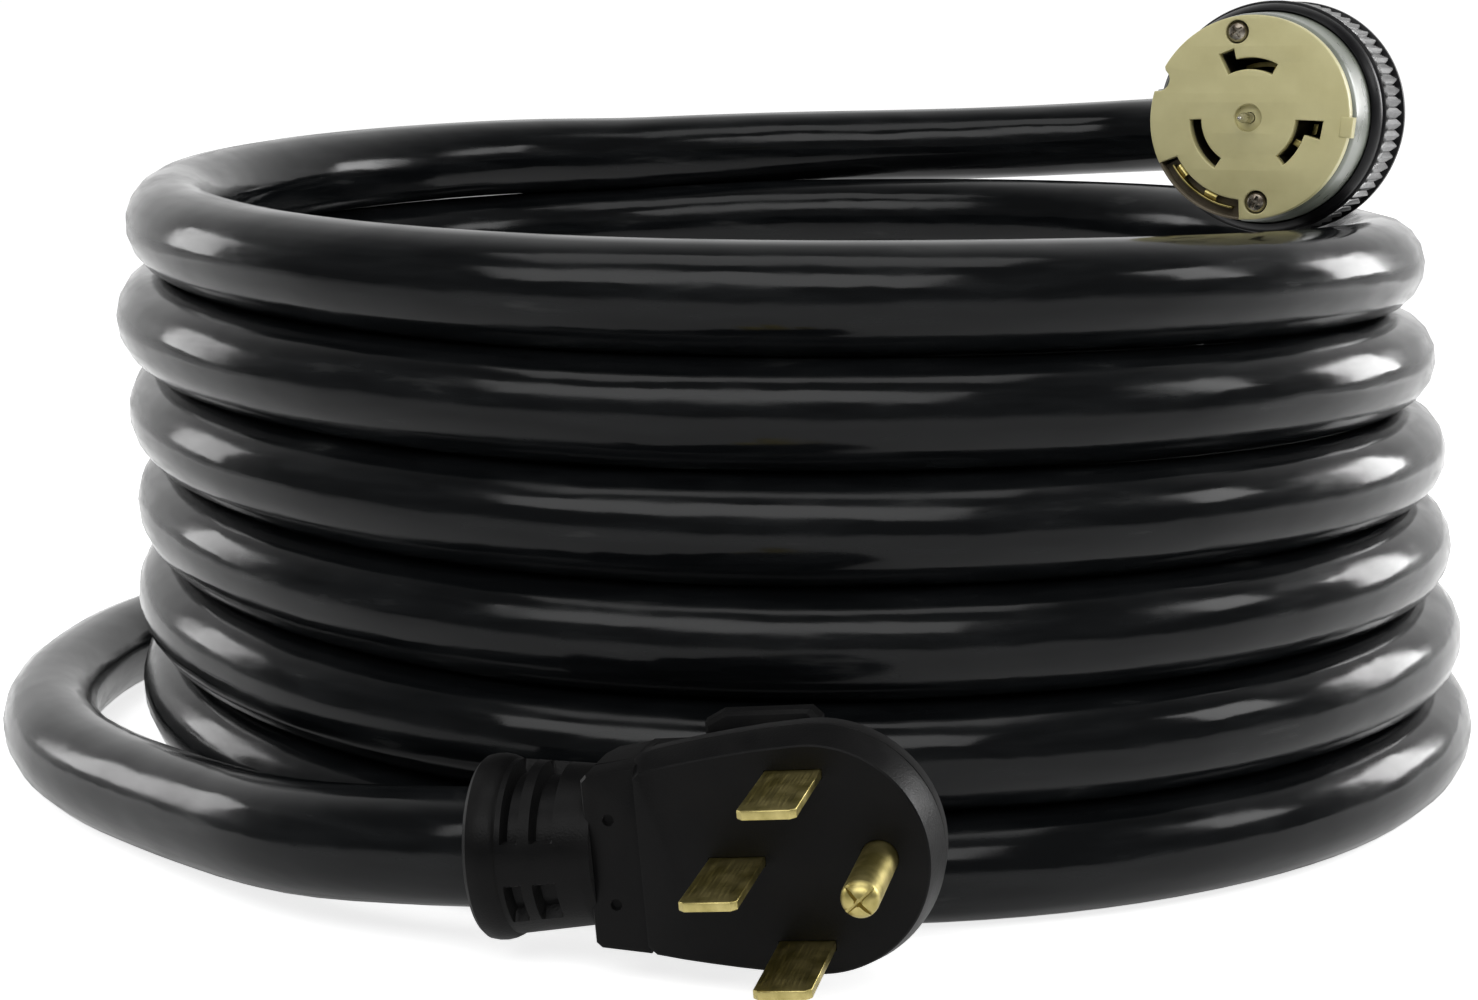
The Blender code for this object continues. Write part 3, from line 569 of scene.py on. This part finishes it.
def blade_cutters():
    """Blocks and a round that open the face round the blades and the ground pin."""
    a, b = 0.00622, 0.00118  # half the width and thickness of a blade's opening
    cutters = [block("cut_blade", (-a, -b, -0.02), (a, b, 0.01), 0.0001, None, shifted(PLUG_FACE, *place))
               for place in BLADES.values()]
    hole = [(0.0, 0.01), (0.0042, 0.01), (0.0042, -0.02), (0.0, -0.02)]
    cutters.append(turned("cut_pin", hole, None, shifted(PLUG_FACE, GROUND_X), steps=40, closed=False))
    return cutters


def make_plug_body():
    """The two moulded halves with a groove between them: the face, the neck, the hump and its grip."""
    rings = [plug_ring(0.0024, 0.0), plug_ring(0.0020, 0.0003), plug_ring(0.0003, 0.0070),
             plug_ring(0.0, SHELL_DEPTH - 0.0006), plug_ring(0.0007, SHELL_DEPTH)]
    face = loft("plug_face_shell", rings, PLUG_BLACK, PLUG_FACE, 24)
    rings = [neck_ring(0.0012, 0.0016), neck_ring(0.0004, 0.0019), neck_ring(0.0, 0.0028),
             neck_ring(0.0, SHELL_DEPTH - 0.0004), neck_ring(0.0005, SHELL_DEPTH)]
    neck = loft("plug_neck", rings, PLUG_BLACK, PLUG_FACE, 24)
    dimple = [(0.0, 0.001), (0.0015, 0.001), (0.0012, -0.0030), (0.0, -0.0032)]
    dimples = [turned("cut_dimple", dimple, None, shifted(PLUG_FACE, -0.0414, y, 0), steps=24, closed=False)
               for y in (0.0094, -0.0094)]
    cut(neck, *dimples)
    cut(face, *blade_cutters())
    finish_piece(merged(face, neck), "plug_plastic", "plug_front_shell")

    front = SHELL_DEPTH + 0.0004
    rings = [plug_ring(0.0007, front), plug_ring(0.0002, front + 0.0004),
             plug_ring(0.0004, COVER_DEPTH - 0.0034), plug_ring(0.0014, COVER_DEPTH - 0.0012),
             plug_ring(0.0034, COVER_DEPTH)]
    cover = loft("plug_back_cover", rings, PLUG_BLACK, PLUG_FACE, 24)
    rings = [neck_ring(0.0007, front), neck_ring(0.0, front + 0.0004), neck_ring(0.0, COVER_DEPTH),
             neck_ring(0.0008, HUMP_DEPTH - 0.0022), neck_ring(0.0030, HUMP_DEPTH)]
    hump_neck = loft("plug_hump_neck", rings, PLUG_BLACK, PLUG_FACE, 24)

    rings = [hump_ring(COVER_DEPTH - 0.0040, 0.0180, 0.0206), hump_ring(COVER_DEPTH + 0.0010, 0.0172, 0.0206),
             hump_ring(HUMP_DEPTH - 0.0022, 0.0092, 0.0200), hump_ring(HUMP_DEPTH, 0.0066, 0.0178)]
    hump = loft("plug_hump", rings, PLUG_BLACK, PLUG_FACE, 24)
    rings = [grip_ring(0.0246, 0.0030), grip_ring(0.0254, 0.0010), grip_ring(0.0264, 0.0002),
             grip_ring(0.0296, 0.0), grip_ring(0.0306, 0.0006), grip_ring(0.0312, 0.0020)]
    finger_grip = loft("plug_finger_grip", rings, PLUG_BLACK, PLUG_FACE, 24)
    ribs = [block("plug_rib", (-0.0250 + 0.0075 * i, -0.0150, -HUMP_DEPTH - 0.0008),
                  (-0.0214 + 0.0075 * i, 0.0150, -HUMP_DEPTH + 0.0010), 0.0006, PLUG_BLACK, PLUG_FACE)
            for i in range(4)]
    finish_piece(merged(cover, hump_neck, hump, finger_grip, *ribs), "plug_plastic", "plug_rear_cover")


def relief_slots(radius, height, angle):
    """Sink the sleeve's two rows of slots, a long and a short one on either side."""
    if radius < CABLE_R + 0.0025:
        return radius
    row = max(half - abs(height - middle) for middle, half in SLOT_ROWS)
    above = math.degrees(math.atan2(-math.cos(angle), -math.sin(angle)))
    inside = max(half - abs((above - middle + 180) % 360 - 180) for middle, half in SLOT_ARCS)
    if row <= 0 or inside <= 0:
        return radius
    return radius - SLOT_SINK * min(row / 0.0004, inside / 1.5, 1.0)


def make_strain_relief():
    """The slotted sleeve and collar that the cable leaves the plug through."""
    bore = CABLE_R + 0.0001
    step = COLLAR_X + 0.0070
    sleeve = dense([(0.0170, NECK_X + 0.0012), (0.0176, NECK_X - 0.0010), (0.0193, step + 0.0006)], 0.0004)
    collar = [(0.0198, step + 0.0002), (0.0203, step - 0.0010), (0.0206, step - 0.0024),
              (0.0206, COLLAR_X + 0.0030), (0.0203, COLLAR_X + 0.0014), (0.0195, COLLAR_X + 0.0005),
              (0.0184, COLLAR_X + 0.0001), (0.0150, COLLAR_X),
              (0.0141, COLLAR_X + 0.0003), (bore, COLLAR_X + 0.0016), (bore, NECK_X + 0.0012)]
    place = shifted(PLUG, 0, CORD_DEPTH) @ Matrix.Rotation(math.pi / 2, 4, "Y")
    relief = turned("plug_cable_relief", sleeve + collar, PLUG_BLACK, place, 144, relief_slots)
    return finish_piece(relief, "plug_plastic", "plug_strain_relief")


def make_blades():
    """Flat blades with clipped, eased tips, and a ground pin with a cross-folded tip."""
    half, clip = 0.00605, 0.0012
    outline = [(-half, BLADE_TAIL), (-half, clip - BLADE_REACH), (clip - half, -BLADE_REACH),
               (half - clip, -BLADE_REACH), (half, clip - BLADE_REACH), (half, BLADE_TAIL)]
    for name, (x, y) in BLADES.items():
        blade = slab("plug_" + name, [outline], -0.0010, 0.0010, 0.00028, BRASS, shifted(PLUG, x, 0, y))
        finish_piece(blade, "brass", name)
    dome, radius = 0.0030, 0.0040
    rounded = [(radius * math.sin(a), BLADE_REACH - 0.0010 - dome + dome * math.cos(a))
               for a in (math.pi / 2 * i / 8 for i in range(9))]
    profile = rounded + [(radius, -BLADE_TAIL), (0.0, -BLADE_TAIL)]
    pin = turned("plug_ground_pin", profile, BRASS, shifted(PLUG_FACE, GROUND_X), 48, closed=False)
    fold = 0.00036
    crossed = shifted(PLUG_FACE, GROUND_X) @ Matrix.Rotation(math.radians(40), 4, "Z")
    cutters = [block("cut_fold", (-a, -b, BLADE_REACH - 0.0032), (a, b, BLADE_REACH + 0.001), 0.00005, None,
                     crossed) for a, b in ((0.005, fold), (fold, 0.005))]
    bottom = BLADE_REACH - 0.0030
    well = [(0.0, BLADE_REACH), (0.0011, BLADE_REACH), (0.0005, bottom), (0.0, bottom)]
    cut(pin, *cutters, turned("cut_middle", well, None, crossed, 20, closed=False))
    finish_piece(pin, "brass", "ground_pin")


# ---- connector -----------------------------------------------------------------------------------

def face_rim():
    """The face's outline, with the wide notch for the ground strip and a half-round key notch."""
    points = []
    for i in range(240):
        angle = 2 * math.pi * i / 240
        reach = FACE_R
        if NOTCH_FROM < angle < NOTCH_TO:
            reach = NOTCH_R
        off = angle - KEY_ANGLE
        if abs(FACE_R * math.sin(off)) < KEY_R and math.cos(off) > 0:
            reach = FACE_R * math.cos(off) - math.sqrt(KEY_R ** 2 - (FACE_R * math.sin(off)) ** 2)
        points.append((reach * math.cos(angle), reach * math.sin(angle)))
    return points


def slot_outline(start, end, wide_end, wide_r):
    """A curved slot, with a wider part that runs from its start to wide_end."""
    steps = 16
    span = [start + (end - start) * i / steps for i in range(steps + 1)]
    inside = [clock(SLOT_IN, a) for a in span]
    outside = [clock(SLOT_OUT, a) for a in reversed(span) if a > wide_end]
    if wide_end > start:
        outside += [clock(SLOT_OUT, wide_end), clock(wide_r, wide_end), clock(wide_r, start)]
    else:
        outside.append(clock(SLOT_OUT, start))
    return inside + outside


def make_face():
    """The cream face: slots, centre recess, screw wells and rim notches, all with eased edges."""
    loops = [face_rim()] + [slot_outline(*shape) for shape in SLOTS]
    loops.append(circle((0, 0), 0.0035, 40))
    loops += [circle(place, 0.0030, 32) for place in SCREW_PLACES]
    face = slab("connector_front_face", loops, 0.0, 0.0035, 0.00035, CREAM, CONNECTOR)
    ring = [circle((0, 0), 0.0037, 40), circle((0, 0), 0.0015, 24)]
    well = slab("centre_well", ring, 0.0016, 0.0034, 0.0001, CREAM, CONNECTOR)
    finish_piece(merged(face, well), "cream_nylon", "connector_face")


def curved_strip(name, inner, outer, start, end, front, back, material, bevel=0.00015):
    """A strip bent round the connector's axis, between two angles from +X in degrees."""
    angles = [math.radians(start + (end - start) * i / 20) for i in range(21)]
    loop = [(inner * math.cos(a), inner * math.sin(a)) for a in angles]
    loop += [(outer * math.cos(a), outer * math.sin(a)) for a in reversed(angles)]
    return slab(name, [loop], front, back, bevel, material, CONNECTOR)


def make_contacts():
    """The three curved contacts deep in their slots, two of them with a raised tip."""
    tips = {"x": (22, 28), "y": (114, 122)}
    for name, (start, end) in (("x", (-23, 24)), ("y", (96, 137)), ("w", (-143, -96))):
        strip = curved_strip("contact_" + name, 0.0132, 0.0146, 90 - end, 90 - start, 0.0160, 0.0520, BRASS)
        if name in tips:
            low, high = tips[name]
            merged(strip, curved_strip("contact_tip", 0.0126, 0.0146, 90 - high, 90 - low, 0.0045, 0.0200,
                                       BRASS, 0.0003))
        finish_piece(strip, "brass", "connector_contact_" + name)


def spring_finger(angle, width):
    """A strip finger that stands up in the notch and bends over towards the axis."""
    path = [(0.0229, -0.0120), (0.0229, -0.0030), (0.0226, -0.0016), (0.0219, -0.0010), (0.0212, -0.0014)]
    thick = 0.0005
    rings = []
    for radius, height in path:
        flat = min(1.0, max(0.0, (0.0229 - radius) / 0.0010))
        lift, out = thick * flat, thick * (1 - flat)
        rings.append([(radius, -width / 2, height), (radius, width / 2, height),
                      (radius + out, width / 2, height + lift), (radius + out, -width / 2, height + lift)])
    place = CONNECTOR @ Matrix.Rotation(math.radians(angle), 4, "Z")
    return loft("ground_finger", rings, BRASS, place, 40)


def make_ground_strip():
    """The brass strip round the notch, its brown bed and outer wall, and its two bent fingers."""
    strip = curved_strip("connector_ground_spring", 0.0232, 0.0237, 212, 261, 0.0012, 0.0300, BRASS)
    finish_piece(merged(strip, spring_finger(219, 0.0034), spring_finger(245, 0.0034)), "brass",
                 "connector_ground_strip")
    bed = curved_strip("ground_bed", 0.02108, 0.0214, 208.5, 264.5, 0.0020, 0.0280, RECESS)
    wall = curved_strip("ground_wall", 0.0257, 0.0263, 205, 268, 0.0006, 0.0148, RECESS)
    floor = curved_strip("ground_floor", 0.0213, 0.0258, 209, 264, 0.0040, 0.0130, RECESS)
    finish_piece(merged(bed, wall, floor), "body_nylon")


def cross_recess(place, reach, depth):
    """Cutters for a cross recess at the origin of a place."""
    return [block("cut_cross", (-a, -b, -depth), (a, b, 0.002), 0.00005, None, place)
            for a, b in ((reach, 0.0004), (0.0004, reach))]


def make_screws():
    """The face's two long screws and the clamp's two, with cross recesses."""
    head = [(0.0, 0.0006), (0.0012, 0.0005), (0.0021, 0.0001), (0.0026, -0.0006), (0.0026, -0.0020),
            (0.0016, -0.0032)]
    for number, (x, y) in enumerate(SCREW_PLACES, 1):
        place = shifted(CONNECTOR, x, y)
        shank = [(0.0016, -0.0440), (0.0, -0.0440)]
        screw = turned("face_screw_%d" % number, head + shank, NICKEL, place, 48, closed=False)
        turned_cross = place @ Matrix.Rotation(math.radians(35 * number), 4, "Z")
        cut(screw, *cross_recess(turned_cross, 0.0017, 0.0016))
        finish_piece(screw, "steel", "connector_face_screw_%d" % number)
    across = Matrix.Rotation(math.pi / 2, 4, "Y")
    for number, side in enumerate((1, -1), 1):
        place = shifted(CONNECTOR, 0, side * CLAMP_SCREW_Y, CLAMP_MIDDLE) @ across
        head = [(0.0, 0.0098), (0.0013, 0.0097), (0.0022, 0.0093), (0.0028, 0.0086), (0.0028, 0.0073),
                (0.0016, 0.0073), (0.0016, -0.0080), (0.0, -0.0080)]
        screw = turned("clamp_screw_%d" % number, head, PLATED, place, 40, closed=False)
        cut(screw, *cross_recess(shifted(place, 0, 0, 0.0097), 0.0017, 0.0010))
        finish_piece(screw, "steel", "connector_clamp_screw_%d" % number)


def make_centre_pin():
    profile = [(0.0, 0.0086), (0.00035, 0.0083), (0.0007, 0.0074), (0.0011, 0.0056), (0.00135, 0.0036),
               (0.00135, -0.0300), (0.0, -0.0300)]
    pin = turned("centre_pin", profile, PLATED, CONNECTOR, 48, closed=False, sharp=40)
    finish_piece(pin, "steel", "connector_centre_pin")


def make_sleeve():
    """The glossy grey-white sleeve behind the face."""
    profile = [(0.0245, -0.0038), (0.0254, -0.0036), (0.0262, -0.0040), (0.0267, -0.0048), (0.0269, -0.0060),
               (0.0274, -0.0150), (0.0275, -0.0165), (0.0275, -0.0240), (0.0245, -0.0240)]
    sleeve = turned("connector_grey_sleeve", profile, GREY_WHITE, CONNECTOR, 144)
    middle = (NOTCH_FROM + NOTCH_TO) / 2
    notch = block("cut_notch", (0.0185, -0.0130, -0.0150), (0.0300, 0.0130, 0.0010), 0.0003, None,
                  CONNECTOR @ Matrix.Rotation(middle, 4, "Z"))
    key = [(0.0, 0.001), (KEY_R, 0.001), (KEY_R, -0.0120), (0.0, -0.0120)]
    key_place = CONNECTOR @ Matrix.Rotation(KEY_ANGLE, 4, "Z") @ Matrix.Translation((FACE_R, 0, 0))
    cut(sleeve, notch, turned("cut_key", key, None, key_place, 32, closed=False))
    finish_piece(sleeve, "grey_nylon", "connector_front_sleeve")


GRIP_FRONT, GRIP_BACK = -0.0215, -0.0396
GRIP_PADS = 64


def grip(radius, height, angle):
    """Cut the grip ring into rounded pads, with a small three-cornered notch at each end of a groove."""
    if radius < 0.0295 or not GRIP_BACK <= height <= GRIP_FRONT:
        return radius
    share = angle / (2 * math.pi) * GRIP_PADS % 1.0
    away = min(share, 1.0 - share) * 2 * math.pi * radius / GRIP_PADS
    half = (GRIP_FRONT - GRIP_BACK) / 2
    along = abs(height - (GRIP_FRONT + GRIP_BACK) / 2) / half
    width = 0.0002 + 0.0011 * max(0.0, (along - 0.50) / 0.50)
    depth = 0.0003 + 0.0010 * min(1.0, max(0.0, (along - 0.45) / 0.30))
    groove = max(0.0, 1.0 - away / width)
    crown = 0.0004 * (away / (math.pi * radius / GRIP_PADS)) ** 2
    return radius - depth * min(1.0, groove * 1.6) + crown - 0.0004


def make_body():
    """The black body: a smooth band, the grip ring, a thin rim and the tapered back."""
    band = [(0.0277, -0.0168), (0.0280, -0.0165), (0.0285, -0.0169), (0.0296, -0.0190), (0.0299, -0.0200),
            (0.0299, -0.0206), (0.0304, -0.0209), (0.0306, -0.0213)]
    ring = dense([(0.0306, GRIP_FRONT), (0.0307, -0.0225), (0.0307, -0.0387), (0.0305, GRIP_BACK)], 0.0004)
    back = [(0.0304, -0.0399), (0.0310, -0.0402), (0.0311, -0.0410), (0.0309, -0.0418), (0.0296, -0.0425),
            (0.0290, -0.0432), (0.0284, -0.0455), (0.0273, -0.0500), (0.0261, -0.0560), (0.0245, -0.0620),
            (0.0229, -0.0700), (0.0214, -0.0770), (0.0205, -0.0830), (0.0200, -0.0862), (0.0195, -0.0876),
            (0.0188, -0.0880), (0.0152, -0.0880), (0.0152, -0.0775), (0.0225, -0.0600), (0.0255, -0.0505),
            (0.0255, -0.0243), (0.0277, -0.0243)]
    body = turned("connector_grip_body", band + ring + back, BODY_BLACK, CONNECTOR, GRIP_PADS * 10, grip)
    body.data.materials.append(GRIP_BLACK)
    for face in body.data.polygons:
        if GRIP_BACK < face.center.z < GRIP_FRONT and face.center.xy.length > 0.0285:
            face.material_index = 1
    tab = block("rim_tab", (0.0240, -0.0026, -0.0034), (0.0272, 0.0026, 0.0003), 0.0004, CREAM,
                CONNECTOR @ Matrix.Rotation(math.radians(-5), 4, "Z"))
    finish_piece(body, "body_nylon", "connector_body")
    finish_piece(tab, "cream_nylon")


def make_clamp():
    """Two clamp halves with eased edges, bored for their screws."""
    split, inner = 0.0006, CORD_R + GAP
    outside = mirrored([(0.0070, 0.0220), (0.0110, 0.0180), (0.0152, 0.0090)])
    meeting = math.acos(split / inner)
    bore = [(inner * math.cos(a), inner * math.sin(a))
            for a in (-meeting + 2 * meeting * i / 40 for i in range(41))]
    across = Matrix.Rotation(math.pi / 2, 4, "Y")
    well = [(0.0, 0.030), (0.0033, 0.030), (0.0033, 0.0070), (0.0019, 0.0070), (0.0019, -0.030),
            (0.0, -0.030)]
    for name, sign in (("right", 1), ("left", -1)):
        loop = [(sign * x, y) for x, y in [(split, 0.0220)] + outside + [(split, -0.0220)] + bore]
        half = slab("cord_clamp_" + name, [loop], CLAMP_FRONT, CLAMP_BACK, 0.0006, BODY_BLACK, CONNECTOR)
        cut(half, *[turned("cut_well", well, None, shifted(CONNECTOR, 0, y, CLAMP_MIDDLE) @ across, 32,
                           closed=False) for y in (CLAMP_SCREW_Y, -CLAMP_SCREW_Y)])
        finish_piece(half, "body_nylon", "connector_clamp_" + name)


# ---- CAD nodes that keep their shape -------------------------------------------------------------

def dress_nodes():
    """Detailed materials for the CAD nodes that stay."""
    looks = {
        "plug_blade_carrier": INNER_BLACK,
        "connector_terminal_block": INNER_BLACK,
        # the contact carrier gets the near-black painted shade for the slots
        "connector_contact_carrier": PAINTED_SHADE_CARRIER,
        "connector_grommet": GROMMET,
    }
    for number in range(1, 5):
        looks["connector_terminal_screw_%d" % number] = BRASS
    for end in ("plug", "connector"):
        for colour, material in WIRES.items():
            looks["%s_wire_%s" % (end, colour)] = material
    for name, material in looks.items():
        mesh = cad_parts[name].data
        mesh.materials.clear()
        mesh.materials.append(material)


# ---- stage ---------------------------------------------------------------------------------------

FLOOR_GLOW = 0.80  # as the camera sees it
REFLECTED_GLOW = 0.55  # as the object reflects it, fading to none towards the front
FLOOR_FADE = (-0.30, 0.05)  # where along Y the glow has faded out, and where it starts to
WORLD_FRONT = 0.14
WORLD_BACK = 1.05
WORLD_FADE = (-0.1, 0.9)
CAMERA_PLACE = (-0.0080, -0.7090, 0.1881)  # in the coil's frame
CAMERA_DOWN = math.radians(9.55)
CAMERA_ROLL = math.radians(0.29)
CAMERA_LENS = 57.17

# Each light's azimuth clockwise from the back, height, distance, width, height of its face, and power.
LIGHTS = {
    "left_light": (-70, 0.45, 1.4, 0.40, 0.50, 3.2),
    "right_light": (68, 0.45, 1.4, 0.45, 0.50, 7),
    "rim_light": (104, 0.75, 1.3, 0.4, 0.4, 2.4),
    "top_light": (180, 1.4, 0.3, 1.4, 0.5, 4),
    "front_light": (190, 1.4, 1.5, 2.6, 0.8, 18),
}


def seen_directly(tree, reflected, direct):
    """A strength that is direct where the camera sees the surface, and reflected for all other rays."""
    choice = tree.nodes.new("ShaderNodeMapRange")
    choice.inputs["To Max"].default_value = direct
    tree.links.new(tree.nodes.new("ShaderNodeLightPath").outputs["Is Camera Ray"], choice.inputs["Value"])
    tree.links.new(reflected, choice.inputs["To Min"])
    return choice.outputs["Result"]


def make_floor():
    """A plain pale floor that looks white, and is darker towards the front in reflections."""
    s = Surface("studio_floor", 0.9)
    s.colours(s.noise(0.5, detail=1.0), (0.0, (0.90, 0.90, 0.90)), (1.0, (0.92, 0.92, 0.92)))
    s.shader.inputs["Emission Color"].default_value = (1, 1, 1, 1)
    split = s.nodes.new("ShaderNodeSeparateXYZ")
    s.links.new(s.place, split.inputs["Vector"])
    reflected = s.ramp(split.outputs["Y"], 0.0, REFLECTED_GLOW, *FLOOR_FADE)
    s.links.new(seen_directly(s, reflected, FLOOR_GLOW), s.shader.inputs["Emission Strength"])
    reach = 12.0
    corners = [(-reach, -reach, 0), (reach, -reach, 0), (reach, reach, 0), (-reach, reach, 0)]
    floor = add_mesh("floor", corners, [(0, 1, 2, 3)], s.material, Matrix.Translation((0, 0, -0.0002)))


def make_world():
    """Surroundings that light the object brightly from behind and dimly from in front, and look white."""
    world = bpy.data.worlds.new("studio")
    bpy.context.scene.world = world
    world.use_nodes = True
    nodes, links = world.node_tree.nodes, world.node_tree.links
    direction = nodes.new("ShaderNodeTexCoord").outputs["Generated"]
    split = nodes.new("ShaderNodeSeparateXYZ")
    links.new(direction, split.inputs["Vector"])
    spread = nodes.new("ShaderNodeMapRange")
    spread.interpolation_type = "SMOOTHSTEP"
    spread.inputs["From Min"].default_value = WORLD_FADE[0]
    spread.inputs["From Max"].default_value = WORLD_FADE[1]
    spread.inputs["To Min"].default_value = WORLD_FRONT
    spread.inputs["To Max"].default_value = WORLD_BACK
    links.new(split.outputs["Y"], spread.inputs["Value"])
    strength = seen_directly(world.node_tree, spread.outputs["Result"], WORLD_BACK)
    links.new(strength, nodes["Background"].inputs["Strength"])
    nodes["Background"].inputs["Color"].default_value = (1, 1, 1, 1)


def softbox(name, azimuth, height, distance, width, tall, power):
    """A soft rectangular light, aimed at the coil."""
    light = bpy.data.lights.new(name, "AREA")
    light.shape = "RECTANGLE"
    light.size = width
    light.size_y = tall
    light.energy = power
    obj = bpy.data.objects.new(name, light)
    angle = math.radians(azimuth)
    obj.location = (distance * math.sin(angle), distance * math.cos(angle), height)
    aim = Vector((0, 0, 0.10)) - obj.location
    obj.rotation_euler = aim.to_track_quat("-Z", "Y").to_euler()
    bpy.context.scene.collection.objects.link(obj)


def make_camera():
    data = bpy.data.cameras.new("camera")
    data.lens = CAMERA_LENS
    data.sensor_width = 36
    camera = bpy.data.objects.new("camera", data)
    bpy.context.scene.collection.objects.link(camera)
    tilt = Euler((math.pi / 2 - CAMERA_DOWN, 0, 0)).to_matrix()
    roll = Euler((0, 0, CAMERA_ROLL)).to_matrix()
    place = Matrix.Translation(COIL @ Vector(CAMERA_PLACE))
    camera.matrix_world = place @ (tilt @ roll).to_4x4()
    bpy.context.scene.camera = camera


make_camera()
cable, cable_length = make_cable()
make_plug_body()
make_strain_relief()
make_blades()
make_face()
make_contacts()
make_ground_strip()
make_screws()
make_centre_pin()
make_sleeve()
make_body()
make_clamp()
dress_nodes()

make_floor()
make_world()
for light_name, light_shape in LIGHTS.items():
    softbox(light_name, *light_shape)
bpy.context.scene.view_settings.view_transform = "Standard"  # keeps blacks deep and the floor white
